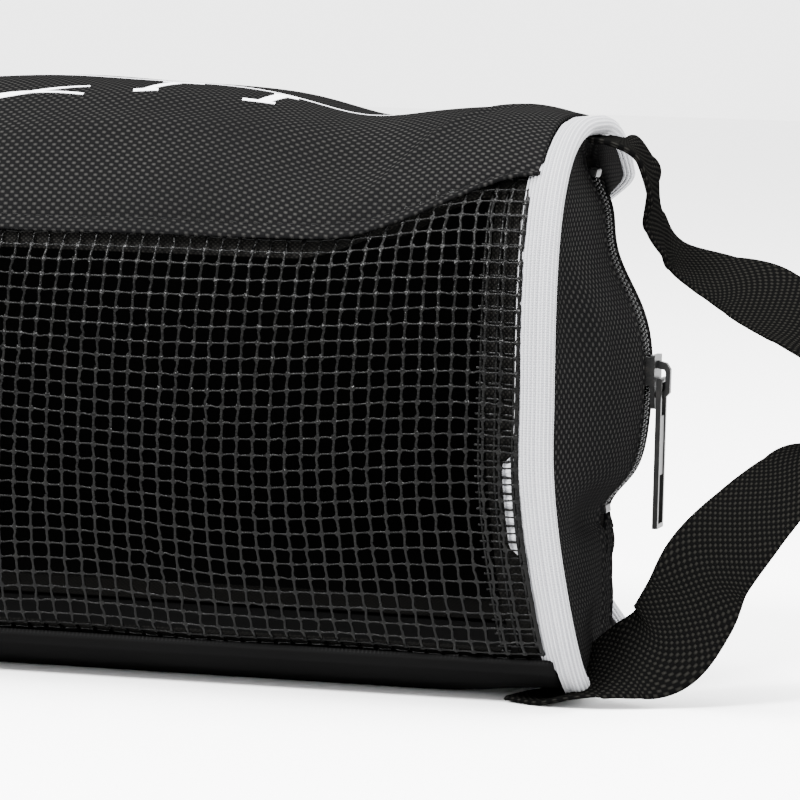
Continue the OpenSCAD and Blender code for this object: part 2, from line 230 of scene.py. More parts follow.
class Look:
    """A Principled material and the few ways its inputs are driven here."""

    def __init__(self, name, **fixed):
        self.mat = bpy.data.materials.new(name)
        self.mat.use_nodes = True
        self.tree = self.mat.node_tree
        self.shader = self.tree.nodes["Principled BSDF"]
        for key, value in fixed.items():
            self.shader.inputs[key.replace("_", " ")].default_value = value

    def node(self, kind, out, inputs=(), **fields):
        """Any other node: its fields, its inputs by name, and one named output as a Sock."""
        n = self.tree.nodes.new(kind)
        for key, value in fields.items():
            setattr(n, key, value)
        for key, value in dict(inputs).items():
            if isinstance(value, Sock):
                self.tree.links.new(value.out, n.inputs[key])
            else:
                n.inputs[key].default_value = value
        return Sock(self.tree, n.outputs[out])

    def uv(self):
        """The two UV values, in millimetres."""
        xyz = self.node("ShaderNodeTexCoord", "UV")
        parts = self.tree.nodes.new("ShaderNodeSeparateXYZ")
        self.tree.links.new(xyz.out, parts.inputs[0])
        return Sock(self.tree, parts.outputs[0]), Sock(self.tree, parts.outputs[1])

    def noise(self, scale, detail=2.0):
        """Noise over the object, with scale in features to the metre."""
        where = self.node("ShaderNodeTexCoord", "Object")
        return self.node("ShaderNodeTexNoise", "Fac", {"Vector": where, "Scale": scale, "Detail": detail})

    def mix(self, fac, a, b):
        """A colour between a and b."""
        n = self.tree.nodes.new("ShaderNodeMix")
        n.data_type = "RGBA"
        self.tree.links.new(fac.out, n.inputs[0])
        n.inputs[6].default_value = (*a, 1)
        n.inputs[7].default_value = (*b, 1)
        return Sock(self.tree, n.outputs[2])

    def drive(self, key, sock):
        """Links a value to a named input of the shader."""
        self.tree.links.new(sock.out, self.shader.inputs[key])

    def bump(self, height, distance, strength=1.0):
        """Raises the surface by a height between 0 and 1, with distance in metres."""
        n = self.tree.nodes.new("ShaderNodeBump")
        n.inputs["Strength"].default_value = strength
        n.inputs["Distance"].default_value = distance
        self.tree.links.new(height.out, n.inputs["Height"])
        self.tree.links.new(n.outputs[0], self.shader.inputs["Normal"])


def weave(look, cell_u, cell_v, bias=0.5):
    """Height of a plain weave, 0 to 1: in every other cell the yarn along u lies on top,
    in the rest the yarn along v, each a rounded ridge that dips at its ends."""
    u, v = look.uv()
    cu, cv = u / cell_u, v / cell_v
    odd = (cu.math("FLOOR") + cv.math("FLOOR")).math("PINGPONG", 1.0)
    fu, fv = cu.math("FRACT") - 0.5, cv.math("FRACT") - 0.5
    ru, rv = (fu * math.pi).math("COSINE"), (fv * math.pi).math("COSINE")
    along_u = rv.math("POWER", 0.6) * (ru * 0.5 + 0.5)
    along_v = ru.math("POWER", 0.6) * (rv * 0.5 + 0.5) * bias
    return along_u * odd + along_v * (1.0 - odd), odd


def nylon(name, dark, light, cell, rough=0.62, depth=0.00022, bias=0.45):
    """Woven black nylon: a plain weave in which only the crowns of the yarns along the length
    are painted lighter as highlights, so that it reads as short dashes laid like bricks, the painted
    highlight patchy with noise."""
    look = Look(name, Roughness=rough, Specular_IOR_Level=0.0)
    h, odd = weave(look, cell * 1.2, cell, bias)
    patchy_noise = look.noise(22.0, 3.0)
    # painted highlight: crowns of the yarns along u lighter, its strength patchy with noise, plus faint
    # painted shading by weave height
    crown = (h * odd).math("POWER", 2.5) * (patchy_noise * 1.4 + 0.15)
    look.drive("Base Color", look.mix(crown + h * 0.06, dark, light))
    look.bump(h, depth, 0.8)
    return look.mat


FLOOR_NYLON = nylon("floor_nylon", (0.0020, 0.0020, 0.0020), (0.006, 0.006, 0.006), 0.5, depth=0.00008)
u = np.linspace(-1, 1, 121)[:, None]
k = np.linspace(0, 1, 61)[None]
t = (360 - hem_t(u, 1.0)) * (1 - k) + (180 + hem_t(u, 3.0)) * k
d = 0.1 - 1.9 * ease((k - 0.90) / 0.03) + 0.45 * np.exp(-((k - 0.962) / 0.008) ** 2)
floor_panel = shell("floor_panel", skin(t, u, d, TUCK), skin(t, u, d + CLOTH, TUCK))
floor_panel.data.materials.append(FLOOR_NYLON)
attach(floor_panel, "bag")
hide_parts("bottom_panel")

# ---------------------------------------------------------------------------
# FAR SIDE PANEL
# Opaque black woven nylon, sewn to the floor panel, its inner face painted near-black as shade.
# It is what keeps the inside dark behind the mesh.
# ---------------------------------------------------------------------------
BALLISTIC = nylon("ballistic_nylon", (0.0022, 0.0022, 0.0023), (0.0135, 0.0132, 0.0126), 1.2)
# inner faces of the panels painted near-black: painted shade inside the bag
INNER_SHADE = Look("inner_face_painted_shade", Roughness=0.9, Specular_IOR_Level=0.0)
INNER_SHADE.shader.inputs["Base Color"].default_value = (0.001, 0.001, 0.001, 1)


def two_faced(ob, quads, inner):
    """Gives the inner layer of a shell, the second run of quads, its own material."""
    ob.data.materials.append(inner)
    layer = np.arange(len(ob.data.polygons)) // quads
    ob.data.polygons.foreach_set("material_index", (layer == 1).astype(np.int32))


t = (-hem_t(u, 1.0)) * (1 - k) + roof_t(u, 6.0) * k
d = 0.2 - 0.9 * np.exp(-((k - 0.5) / 0.3) ** 2) + 0.7 * ease((k - 0.93) / 0.05)
far_side = shell("far_side", skin(t, u, d), skin(t, u, d + CLOTH))
far_side.data.materials.append(BALLISTIC)
two_faced(far_side, (u.size - 1) * (k.size - 1), INNER_SHADE.mat)
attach(far_side, "bag")
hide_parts("far_side_panel")

# ---------------------------------------------------------------------------
# CLOSED END
# A stiffener board behind a panel of the same nylon, sewn in at the far end of the bag.
# The board keeps the panel flat and that end of the bag open.
# ---------------------------------------------------------------------------


def outline_w(z, d):
    """Half width of the end outline at height z, d inside its edge."""
    up = z >= MID_Z
    n = np.where(up, N_TOP, N_LOW)
    h = np.where(up, BODY_H - d - MID_Z, MID_Z + SAG - d)
    return (HALF_W - d) * np.maximum(1e-4, 1 - (np.abs(z - MID_Z) / h) ** n) ** (1 / n)


def end_rows(d, n, lo_cut=0.4, hi_cut=1.2):
    """Heights of the rows of an end panel, closer together near its top and bottom."""
    f = (1 - np.cos(np.pi * np.linspace(0, 1, n))) / 2
    lo, hi = FOOT_LIFT + d + lo_cut, BODY_H - d - hi_cut
    return lo + (hi - lo) * f


INNER_D = 0.8 + CORD_R + 0.2
z = end_rows(INNER_D, 61)[:, None]
w = np.maximum(8, outline_w(z, INNER_D))
k = np.linspace(-1, 1, 49)[None]
full = np.sin(np.pi * np.linspace(0, 1, z.size))[:, None] ** 0.7 * (1 - k ** 2)
x = (-HALF_L + CORD_R - lean(z)) * (1 - full) + (-HALF_L - 4) * full
P = np.stack([x, k * w, np.broadcast_to(z, full.shape)], -1)
closed_end = shell("closed_end", P, P + [1.4, 0, 0])
closed_end.data.materials.append(BALLISTIC)
two_faced(closed_end, (z.size - 1) * (k.size - 1), INNER_SHADE.mat)
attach(closed_end, "bag")
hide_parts("base_panel")

BOARD = Look("stiffener_board", Roughness=0.6)
BOARD.shader.inputs["Base Color"].default_value = (0.02, 0.02, 0.02, 1)
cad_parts["base_board"].data.materials.clear()
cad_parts["base_board"].data.materials.append(BOARD.mat)

# ---------------------------------------------------------------------------
# SEAM TAPES
# Plain black binding over every raw edge inside, the wide ones round both ends
# showing faintly through the last columns of the mesh.
# ---------------------------------------------------------------------------
TAPE = nylon("seam_tape", (0.002, 0.002, 0.002), (0.009, 0.0085, 0.0075), 0.6, depth=0.00006)


def loop_uv(P, across):
    """UV of a closed loop of profiles: the way round it and the way across, in millimetres."""
    run = np.linalg.norm(P - np.roll(P, 1, 0), axis=-1).mean(1).cumsum()
    return np.stack(np.broadcast_arrays(run[:, None], across[None]), -1)


def hoop(name, s, backs, ds, wobble):
    """A closed loop of tape round the outline of end s: its profile is given as distances
    back from the end seam and depths below the skin, wobble lets its edges wander."""
    tt = np.linspace(0, 360, 241)[:-1][:, None]
    a = tt * (1 if s > 0 else -1)
    stray = wobble * (np.sin(np.radians(7 * tt)) + np.sin(np.radians(11 * tt + 40)))
    y, z = skin_yz(a, 1.0, np.asarray(ds)[None])
    x = s * (HALF_L - np.asarray(backs)[None] - stray + lean(z)) - cave(y, z) * (s > 0)
    P = np.stack([x, y, z], -1)
    across = np.concatenate([[0], np.cumsum(np.linalg.norm(np.diff(P[0], axis=0), axis=-1))])
    return new_mesh(name, P, grid_faces(*P.shape[:2], True, True), loop_uv(P, across))


for s, node in ((1, "zip_seam_binding"), (-1, "base_seam_binding")):
    backs, depths = [20.0, 6.5, 6.0, 6.5, 20.0, 20.4], [1.7, 1.7, 2.2, 2.7, 2.7, 2.2]
    tape = hoop(node + "_tape", s, backs, depths, 0.35)
    tape.data.materials.append(TAPE)
    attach(tape, "bag")
    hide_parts(node)
for s, node in ((1, "far"), (-1, "near")):
    for where in ("roof", "floor"):
        u = np.linspace(-1, 1, 81)[:, None]
        k = np.linspace(0, 1, 7)[None]
        if where == "roof":
            a = roof_t(u, -5) * (1 - k) + roof_t(u, 5) * k
        else:
            a = -hem_t(u, -2.5) * (1 - k) - hem_t(u, 3) * k
        if s < 0:
            a = 180 - a[:, ::-1]
        tape = shell(f"{where}_tape_{node}", skin(a, u, 2.2, 21), skin(a, u, 2.9, 21))
        tape.data.materials.append(TAPE)
        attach(tape, "bag")
        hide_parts(f"{where}_binding_{node}")

# ---------------------------------------------------------------------------
# MESH SIDE
# Black coated mesh: thick upright yarns and thinner level ones welded where they
# cross, each crossing a small raised bead. The cut edge at the zip end is folded under
# and stitched over the flange of the white piping; top and bottom run under the hems.
# ---------------------------------------------------------------------------
PITCH_X, PITCH_Z = 4.78, 4.42
UPRIGHT, LEVEL, MESH_BACK = 0.52, 0.33, 10.6
BEAD_R, BEAD_UP = 0.98, 0.60
COATED = Look("coated_mesh", Roughness=0.22, Specular_IOR_Level=0.05)
patchy_noise = COATED.noise(420.0, 3.0)
COATED.drive("Base Color", COATED.mix(
    (patchy_noise - 0.45) * 3.0, (0.0005, 0.0005, 0.0005), (0.0022, 0.0022, 0.0020)))
COATED.bump(COATED.noise(900.0, 2.0), 0.0004, 0.9)


def near_t(u, z):
    """Angle of the near side at height z."""
    top = BODY_H + ROOF_RISE * (1 - u * u) - MID_Z
    rise = np.degrees(np.arcsin(np.clip((z - MID_Z) / top, 0, 1) ** (N_TOP / 2)))
    fall = np.degrees(np.arcsin(np.clip((MID_Z - z) / (MID_Z + SAG), 0, 1) ** (N_LOW / 2)))
    return 180 - rise + fall


def side_height(u, s):
    """Height reached on the near side after a length s of cloth upwards from the floor seam,
    for each column of points of equal u."""
    z = np.linspace(HEM_Z - 2, 165, 500)
    t = near_t(u[:, :1], z[None])
    y, zz = skin_yz(t, u[:, :1], 0.0)
    steps = np.hypot(np.diff(y, axis=1), np.diff(zz, axis=1))
    run = np.concatenate([np.zeros((len(u), 1)), np.cumsum(steps, 1)], 1)
    ends = [np.interp(float(seam_z(c)) + 4.5, z, r) for c, r in zip(u[:, 0], run)]
    return np.stack([np.interp(np.minimum(row, top), r, z) for row, top, r in zip(s, ends, run)])


def mesh_points(U, S, lift, back=MESH_BACK):
    """Points and outward directions of the mesh at length fraction U and cloth length S."""
    climb = ease((np.abs(U) - 0.55) / 0.45)
    s = S * (1 + 0.035 * climb) + 1.2 * np.sin(7.0 * U + S / 38) * np.sin(np.pi * np.clip(S / 130, 0, 1))
    z = side_height(U, s)
    under = ease((z - seam_z(U) + 9) / 9) * 2.0 + ease((HEM_Z + 7 - z) / 6) * 2.6
    wave = 0.8 * np.sin(5.1 * U + z / 60) * np.sin(np.pi * z / 150) + 0.5 * np.sin(13 * U - z / 25)
    t = near_t(U, z)
    P = skin(t, U, under + wave - 1.0 - lift, back)
    N = skin(t, U, under + wave - 2.0 - lift, back) - P
    P[..., 0] += 0.0011 * np.clip(z - 60, 0, 99) ** 2 * ease((0.985 - np.abs(U)) / 0.3) * 0.5
    return P, N / np.linalg.norm(N, axis=-1, keepdims=True)


def tubes(paths, radius, out, sides=6, flat=0.8):
    """Round yarns along many paths of equal length: paths is yarns by points by 3, radius is
    yarns by points, out is the outward direction at each point, flat squeezes them against it."""
    tang = np.gradient(paths, axis=1)
    tang /= np.maximum(1e-9, np.linalg.norm(tang, axis=-1, keepdims=True))
    side = np.cross(tang, out)
    side /= np.maximum(1e-9, np.linalg.norm(side, axis=-1, keepdims=True))
    out = np.cross(side, tang)
    a = np.linspace(0, 2 * np.pi, sides + 1)[:-1, None]
    ring = np.cos(a) * side[:, :, None] + flat * np.sin(a) * out[:, :, None]
    P = paths[:, :, None] + radius[:, :, None, None] * ring
    ny, npt = paths.shape[:2]
    one = grid_faces(npt, sides, False, True)
    return P.reshape(-1, 3), (one[None] + (np.arange(ny) * npt * sides)[:, None, None]).reshape(-1, 4)


def join(*parts):
    """Several runs of points and faces as one."""
    starts = np.cumsum([0] + [len(v) for v, _ in parts[:-1]])
    return np.concatenate([v for v, _ in parts]), np.concatenate([f + s for (_, f), s in zip(parts, starts)])


def zigzag(n, sub):
    """0 at every crossing and 1 half way between, for n points, sub of them to a cell."""
    return 1 - np.abs((np.arange(n) % sub) / sub - 0.5) * 2


n_up, n_lv = int(2 * (HALF_L - MESH_BACK) / PITCH_X), 33
sub = 3  # pieces of yarn to a cell
cols, rows = np.linspace(-1, 1, n_up + 1), np.arange(n_lv + 1) * PITCH_Z
S1 = np.linspace(0, rows[-1], n_lv * sub + 1)
U, S = np.meshgrid(cols, S1, indexing="ij")
stray = 0.16 * rng.standard_normal(U.shape) / HALF_L
stray[[0, -1]] = 0
P, N = mesh_points(U, S, 0.0)
P[..., 0] += stray * HALF_L
mid = zigzag(len(S1), sub)
upright = tubes(P, UPRIGHT * (1.12 - 0.3 * mid) * np.ones_like(U), N)
U1 = np.linspace(-1, 1, n_up * sub + 1)
U, S = np.meshgrid(U1, rows, indexing="ij")
S = S + 0.12 * rng.standard_normal(S.shape)
P, N = mesh_points(U, S, 0.1)
mid = zigzag(len(U1), sub)[:, None]
level = tubes(P.transpose(1, 0, 2), (LEVEL * (1.2 - 0.45 * mid) * np.ones_like(U)).T, N.transpose(1, 0, 2))
U, S = np.meshgrid(cols, rows, indexing="ij")
P, N = mesh_points(U, S, 0.15)
side = np.cross(N, [1.0, 0, 0])
side /= np.linalg.norm(side, axis=-1, keepdims=True)
along = np.cross(side, N)
a = np.linspace(0, 2 * np.pi, 7)[:-1, None]
rim = P[:, :, None] + BEAD_R * (np.cos(a) * along[:, :, None] + np.sin(a) * side[:, :, None])
bead = np.concatenate([(P + BEAD_UP * N)[:, :, None], rim], 2).reshape(-1, 7, 3)
star = np.array([[0, 1, 2, 3], [0, 3, 4, 5], [0, 5, 6, 1]])
beads = bead.reshape(-1, 3), (star[None] + (np.arange(len(bead)) * 7)[:, None, None]).reshape(-1, 4)
mesh_side = new_mesh("mesh_side", *join(upright, level, beads))
mesh_side.data.materials.append(COATED.mat)
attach(mesh_side, "bag")
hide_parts("mesh_panel")

# The part folded under at each end: a second layer of the same yarns, a third of a cell off.
for s, name in ((1, "mesh_fold_zip_end"), (-1, "mesh_fold_closed_end")):
    edge = s * (1 - np.array([0.0012, 0.007, 0.040, 0.068]))
    U, S = np.meshgrid(np.sort(edge), S1, indexing="ij")
    P, N = mesh_points(U, S, -1.5)
    upright = tubes(P, np.where(np.abs(U) > 0.99, 0.72, 0.5), N)
    U1 = s * np.linspace(1.0, 0.925, 19)
    U, S = np.meshgrid(np.sort(U1), rows + 0.32 * PITCH_Z, indexing="ij")
    P, N = mesh_points(U, S, -1.5)
    level = tubes(P.transpose(1, 0, 2), np.full(U.shape, 0.42).T, N.transpose(1, 0, 2))
    lip = np.linspace(0, rows[-1], n_lv * 8 + 1)
    U, S = np.meshgrid([s * 0.9995], lip, indexing="ij")
    P, N = mesh_points(U, S, -0.2)
    P[..., 0] += s * 0.45 * np.abs(np.sin(np.pi * lip / PITCH_Z))
    scallop = tubes(P, 0.62 + 0.22 * np.cos(2 * np.pi * lip / PITCH_Z)[None], N)
    fold = new_mesh(name, *join(upright, level, scallop))
    fold.data.materials.append(COATED.mat)
    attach(fold, "bag")

# ---------------------------------------------------------------------------
# ROOF PANEL
# The same ballistic nylon, one piece from seam to seam over the top. Its long edges are
# folded under and topstitched over the edges of the mesh and of the far side.
# ---------------------------------------------------------------------------
ROOF_RUN, STITCH_IN = 150.0, 4.2  # cloth from seam to seam, and how far in its stitches run


def roof_surface(u, k, lift=0.0):
    """A point of the roof: k runs from the near seam (0) to the far one (1). The cloth stands
    full along its folded hems, is drawn in at the stitch line and slumps a little before the end."""
    t = (180 - roof_t(u, -1.2)) * (1 - k) + roof_t(u, -1.2) * k
    e = np.minimum(k, 1 - k) * ROOF_RUN
    crest = np.sin(np.radians(t)) ** 6
    v = k * ROOF_RUN
    fold = (v - 3 - 95 * ease((np.abs(u) - 0.62) / 0.42)) / 5.0
    d = (-0.7 - 0.9 * np.exp(-(e / 2.6) ** 2) + 0.5 * np.exp(-((e - STITCH_IN) / 1.1) ** 2)
         + crest * (5.0 * np.exp(-((u - 0.64) / 0.13) ** 2) - 2.4 * np.exp(-((u - 0.93) / 0.10) ** 2)
                    + 3.0 * np.exp(-((u + 0.7) / 0.15) ** 2) - 1.4 * np.exp(-((u - 0.22) / 0.22) ** 2))
         + ease((1 - np.abs(u)) / 0.1) * (
             2.4 * np.exp(-((v - 27) / 11) ** 2) * np.exp(-((u - 0.60) / 0.20) ** 2)
             - 1.1 * np.exp(-fold ** 2) * ease((np.abs(u) - 0.5) / 0.3)
             + 0.9 * np.exp(-((v - 40 - 20 * u) / 6) ** 2) * np.exp(-((u - 0.28) / 0.22) ** 2)
             - 0.8 * np.exp(-((v - 30 - 26 * u) / 5) ** 2) * np.exp(-((u - 0.20) / 0.25) ** 2)
             + 0.45 * np.sin(9 * u + v / 16) + 0.3 * np.sin(17 * u - v / 9)))
    return skin(t, u, d - lift, TUCK)


u = np.linspace(-1, 1, 241)[:, None]
k = np.linspace(0, 1, 161)[None]
roof = shell("roof", roof_surface(u, k), roof_surface(u, k, -CLOTH))
roof.data.materials.append(BALLISTIC)
two_faced(roof, (u.size - 1) * (k.size - 1), INNER_SHADE.mat)
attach(roof, "bag")
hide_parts("top_panel")


def stitches(name, points, out, length=2.6, pitch=3.5, r=0.22):
    """A row of stitches along a line of points, each a short rounded bar lying on the cloth."""
    run = np.concatenate([[0], np.cumsum(np.linalg.norm(np.diff(points, axis=0), axis=1))])
    at = np.arange(pitch, run[-1] - pitch, pitch)[:, None] + np.linspace(-0.5, 0.5, 5)[None] * length
    P = np.stack([np.interp(at, run, points[:, i]) for i in range(3)], -1)
    N = np.stack([np.interp(at, run, out[:, i]) for i in range(3)], -1)
    N /= np.linalg.norm(N, axis=-1, keepdims=True)
    P = P + N * (0.16 * np.array([-1.2, 0.5, 1, 0.5, -1.2]))[:, None]
    return new_mesh(name, *tubes(P, r * np.array([0.35, 0.95, 1, 0.95, 0.35]) * np.ones_like(at), N))


THREAD = Look("black_thread", Roughness=0.5, Specular_IOR_Level=0.0)
THREAD.shader.inputs["Base Color"].default_value = (0.006, 0.006, 0.006, 1)
line = np.linspace(-0.985, 0.985, 400)
at = STITCH_IN / ROOF_RUN
for k, name in ((at, "roof_stitches_near"), (1 - at, "roof_stitches_far")):
    P = roof_surface(line, k)
    row = stitches(name, P, roof_surface(line, k, 1.0) - P)
    row.data.materials.append(THREAD.mat)
    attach(row, "bag")

# ---------------------------------------------------------------------------
# PRINT ON THE ROOF
# White screen print: rolling fairway lines, a horizon line, a tee and a flag,
# plain shapes of their own, each a film laid on the cloth.
# ---------------------------------------------------------------------------
INK = Look("white_ink", Roughness=0.55)
INK.shader.inputs["Base Color"].default_value = (0.60, 0.60, 0.62, 1)
NEAR_SEAM_T = 153.5  # about the angle of the near roof seam along its level middle


def roof_k(y):
    """Where the roof is crossed at distance y across the bag, near side negative."""
    t = np.degrees(np.arccos(np.clip(spow(y / (HALF_W + 1.5), N_TOP / 2), -1, 1)))
    return (NEAR_SEAM_T - t) / (2 * NEAR_SEAM_T - 180)


def stroke(x, y, width):
    """Points and faces of a stroke through x, y with the given width, thin as paint."""
    x, y, width = (np.asarray(a, float) for a in np.broadcast_arrays(x, y, width))
    n = np.linspace(0, len(x) - 1, 8 * len(x))
    x, y, width = (np.interp(n, np.arange(len(v)), v) for v in (x, y, width))
    tx, ty = np.gradient(x), np.gradient(y)
    size = np.hypot(tx, ty)
    k = np.linspace(-0.5, 0.5, 5)[None]
    X = x[:, None] - (ty / size * width)[:, None] * k
    Y = y[:, None] + (tx / size * width)[:, None] * k
    U, K = X / (HALF_L - TUCK - 2), roof_k(Y)
    top, low = roof_surface(U, K, 0.16), roof_surface(U, K, -0.25)
    if tx.sum() < 0:
        top, low = top[:, ::-1], low[:, ::-1]
    return closed_sheet(top, low)


def hill(q):
    """One rolling line along the roof, its waves shifted by q radians, swelling as it turns."""
    s = np.linspace(0, 1, 60)
    y = -35 + 6.5 * np.sin(14 * s + q) * (1 - 0.4 * s) - 3 * q + 6 * s * s
    return stroke(-150 + 172 * s, y, 0.9 + 2.0 * np.sin(22 * s + q) ** 2 * (1 - s ** 4))


hills = hill(0.0), hill(1.3)
s = np.linspace(0, 1, 60)
horizon = stroke(-150 + 262 * s, -3.5 - 7 * s ** 3, 1.3 - 0.7 * s)
tee = (stroke([40, 46], [-27, -14.5], [2.4, 3.2]), stroke([41, 53], [-13.5, -10.5], 2.0),
       stroke([36.5, 43.5], [-28, -26], 2.0))
flag = (stroke([75, 77.5], [-24, -12.5], 3.6), stroke([69, 78.5], [-24.6, -23.2], 1.8),
        stroke([75, 82], [-11.8, -9.8], 3.2))
print_film = new_mesh("roof_print", *join(*hills, horizon, *tee, *flag), smooth=False)
print_film.data.materials.append(INK.mat)
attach(print_film, "bag")

# ---------------------------------------------------------------------------
# ZIP END PANELS
# Two halves of the ballistic nylon, eased over the bowed zip, each folded under beside
# it and topstitched. The near half is creased where it meets the piping.
# ---------------------------------------------------------------------------
ZIP_R, ZIP_X, ZIP_Z = 140.0, HALF_L + 13, 92.0
EDGE_Y, HEM_IN = 6.0, 3.0  # folded edges of the halves from the middle, and their stitches from the fold


def zip_height(a):
    """Height of the zip's bow at angle a in degrees above its middle."""
    return ZIP_Z + ZIP_R * np.sin(np.radians(a))


def slump(z):
    """How far the cloth end falls short of the zip's true bow at height z."""
    return (6.5 * np.exp(-((z - 130) / 16) ** 2) + 6.5 * np.exp(-((z - 54) / 8.5) ** 2)
            + 3.0 * np.exp(-((z - 152) / 8) ** 2))


def ridge(z):
    """How far out the middle of the zip end stands at height z."""
    q = np.minimum(ZIP_R - 1, np.abs(z - ZIP_Z))
    arc = ZIP_X - ZIP_R + np.sqrt(ZIP_R ** 2 - q * q)
    rim = HALF_L - CORD_R + lean(z)
    low = np.where(z < ZIP_Z, np.maximum(arc, HALF_L + 2.5), arc)
    lo = FOOT_LIFT + INNER_D + 0.4
    return rim + (np.maximum(low, rim) - rim) * ease((z - lo + 4) / 18) - slump(z) * ease((z - 15) / 20)


def end_surface(s, y, z, w):
    """A point of one half of the zip end, s -1 near and 1 far, y from the middle outwards."""
    rim = HALF_L - CORD_R + lean(z) - cave(w, z) * (s > 0)
    q = np.clip((y - EDGE_Y) / np.maximum(1, w - EDGE_Y), 0, 1)
    top = ridge(z) + 1.3 * ease((z - 18) / 12) * ease((158 - z) / 10)
    if s < 0:
        x = rim + (top - rim) * (1 - q ** 1.7)
        x = x - 3.4 * np.exp(-((y - 47) / 9) ** 2 - ((z - 112 + (y - 47) * 0.9) / 17) ** 2)
        x = x + 1.3 * np.exp(-((y - 34 - (z - 100) * 0.25) / 5) ** 2) * np.exp(-((z - 112) / 26) ** 2)
        x = x - 1.6 * np.exp(-((z - 58 - 0.5 * (y - 30)) / 7) ** 2) * np.exp(-((y - 24) / 16) ** 2)
        x = x + 0.9 * np.exp(-((z - 38 + 0.3 * y) / 6) ** 2) * np.exp(-((y - 30) / 16) ** 2)
    else:
        x = rim + (top - rim) * (1 - q ** 0.95)
        x = x - 1.4 * np.exp(-((y - 40) / 9) ** 2 - ((z - 70) / 20) ** 2)
    x = x + (0.35 * np.sin(z / 7 + y / 9) + 0.25 * np.sin(z / 4.1 - y / 13)) * np.sin(np.pi * q) ** 2
    hem = y - EDGE_Y
    x = x - 1.1 * np.exp(-(hem / 0.45) ** 2) - 0.45 * np.exp(-((hem - HEM_IN) / 0.8) ** 2)
    return np.stack([x, s * y, z * np.ones_like(y)], -1)


z = end_rows(INNER_D, 171)[:, None]
w = np.maximum(10, outline_w(z, INNER_D))
beside_zip = ease((z - zip_height(-19.1) - 1) / 3) * ease((zip_height(28.1) - z) / 3)
edge = 0.3 + (EDGE_Y - 0.3) * beside_zip
for s, side in ((-1, "near"), (1, "far")):
    k = np.linspace(0, 1, 91)[None] ** 1.3
    y = edge * (1 - k) + w * k
    P = end_surface(s, np.maximum(y, EDGE_Y), z, w)
    P[..., 1] = s * y
    Q = P - [1.3, 0, 0]
    if s > 0:
        P, Q = P[::-1], Q[::-1]
    half = shell("end_half_" + side + "_cloth", P, Q)
    half.data.materials.append(BALLISTIC)
    two_faced(half, (z.size - 1) * (k.size - 1), INNER_SHADE.mat)
    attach(half, "bag")
    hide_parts("end_half_" + side)
    line = np.linspace(50, 154, 200)
    P = end_surface(s, np.full(line.size, EDGE_Y + HEM_IN), line, outline_w(line, INNER_D))
    row = stitches("end_stitches_" + side, P, np.tile([1.0, 0, 0], (line.size, 1)), 2.2, 3.2, 0.15)
    row.data.materials.append(THREAD.mat)
    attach(row, "bag")

# ---------------------------------------------------------------------------
# ZIP
# Two woven tapes under the folded edges, each with a row of coiled nylon teeth, running
# up the middle of the end over its bow. The pair is closed.
# ---------------------------------------------------------------------------
TEETH = Look("zip_coil", Roughness=0.4, Specular_IOR_Level=0.08)
TEETH.shader.inputs["Base Color"].default_value = (0.0015, 0.0015, 0.0015, 1)
TAPE_T, TURNS, WIRE_R = 0.75, 74, 0.42
for s, side in ((-1, "near"), (1, "far")):
    z = zip_height(np.linspace(-19.0, 28.0, 121))[:, None]
    y = np.linspace(1.6, 15.0, 15)[None]
    P = np.stack(np.broadcast_arrays(ridge(z) - TAPE_T, s * y, z), -1)
    Q = P - [TAPE_T, 0, 0]
    if s > 0:
        P, Q = P[::-1], Q[::-1]
    tape = shell("zip_tape_" + side + "_weave", P, Q)
    tape.data.materials.append(TAPE)
    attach(tape, "bag")
    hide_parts("zip_tape_" + side)
    z = zip_height(np.linspace(-15.4, 25.4, TURNS * 8 + 1))
    turn = np.linspace(0, TURNS * 2 * np.pi, z.size) + (np.pi if s > 0 else 0)
    P = np.stack([ridge(z) + 0.15 + 0.55 * np.sin(turn), s * 1.9 - 1.3 * np.cos(turn), z], -1)
    wire = tubes(P[None], np.full((1, z.size), WIRE_R), np.tile([0.01, 0, 1.0], (1, z.size, 1)))
    coil = new_mesh("zip_coil_" + side + "_teeth", *wire)
    coil.data.materials.append(TEETH.mat)
    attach(coil, "bag")
    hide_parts("zip_coil_" + side)

# ---------------------------------------------------------------------------
# ZIP STOPS, SLIDER AND PULLER
# Die-cast metal, black enamelled: two stops clamped on the coils, a slider with a crown
# and a long framed puller hung from it.
# ---------------------------------------------------------------------------
ENAMEL = Look("black_enamel", Metallic=0.0, Roughness=0.38, Specular_IOR_Level=0.08)
patchy_noise = ENAMEL.noise(260.0, 4.0)
ENAMEL.drive("Base Color", ENAMEL.mix((patchy_noise - 0.5) * 2.5, (0.0025, 0.0025, 0.0025), (0.012, 0.011, 0.010)))
ENAMEL.bump(ENAMEL.noise(700.0, 3.0), 0.0001, 0.5)


def block(name, where, size, tilt):
    """A small block with rounded edges, tilted back by tilt radians about the level axis."""
    corners = np.array([[x, y, z] for x in (-1, 1) for y in (-1, 1) for z in (-1, 1)]) * size / 2
    c, s = math.cos(tilt), math.sin(tilt)
    corners = corners @ np.array([[c, 0, s], [0, 1, 0], [-s, 0, c]])
    faces = [[0, 1, 3, 2], [4, 6, 7, 5], [0, 4, 5, 1], [2, 3, 7, 6], [0, 2, 6, 4], [1, 5, 7, 3]]
    ob = new_mesh(name, corners + where, faces, smooth=False)
    soften(ob, 0.4)
    return ob


def soften(ob, width):
    """Rounds the hard edges of a metal piece by width millimetres."""
    bevel = ob.modifiers.new("soft_edges", "BEVEL")
    bevel.width = width * MM
    bevel.segments = 3
    bevel.limit_method = "ANGLE"
    bevel.angle_limit = math.radians(35)


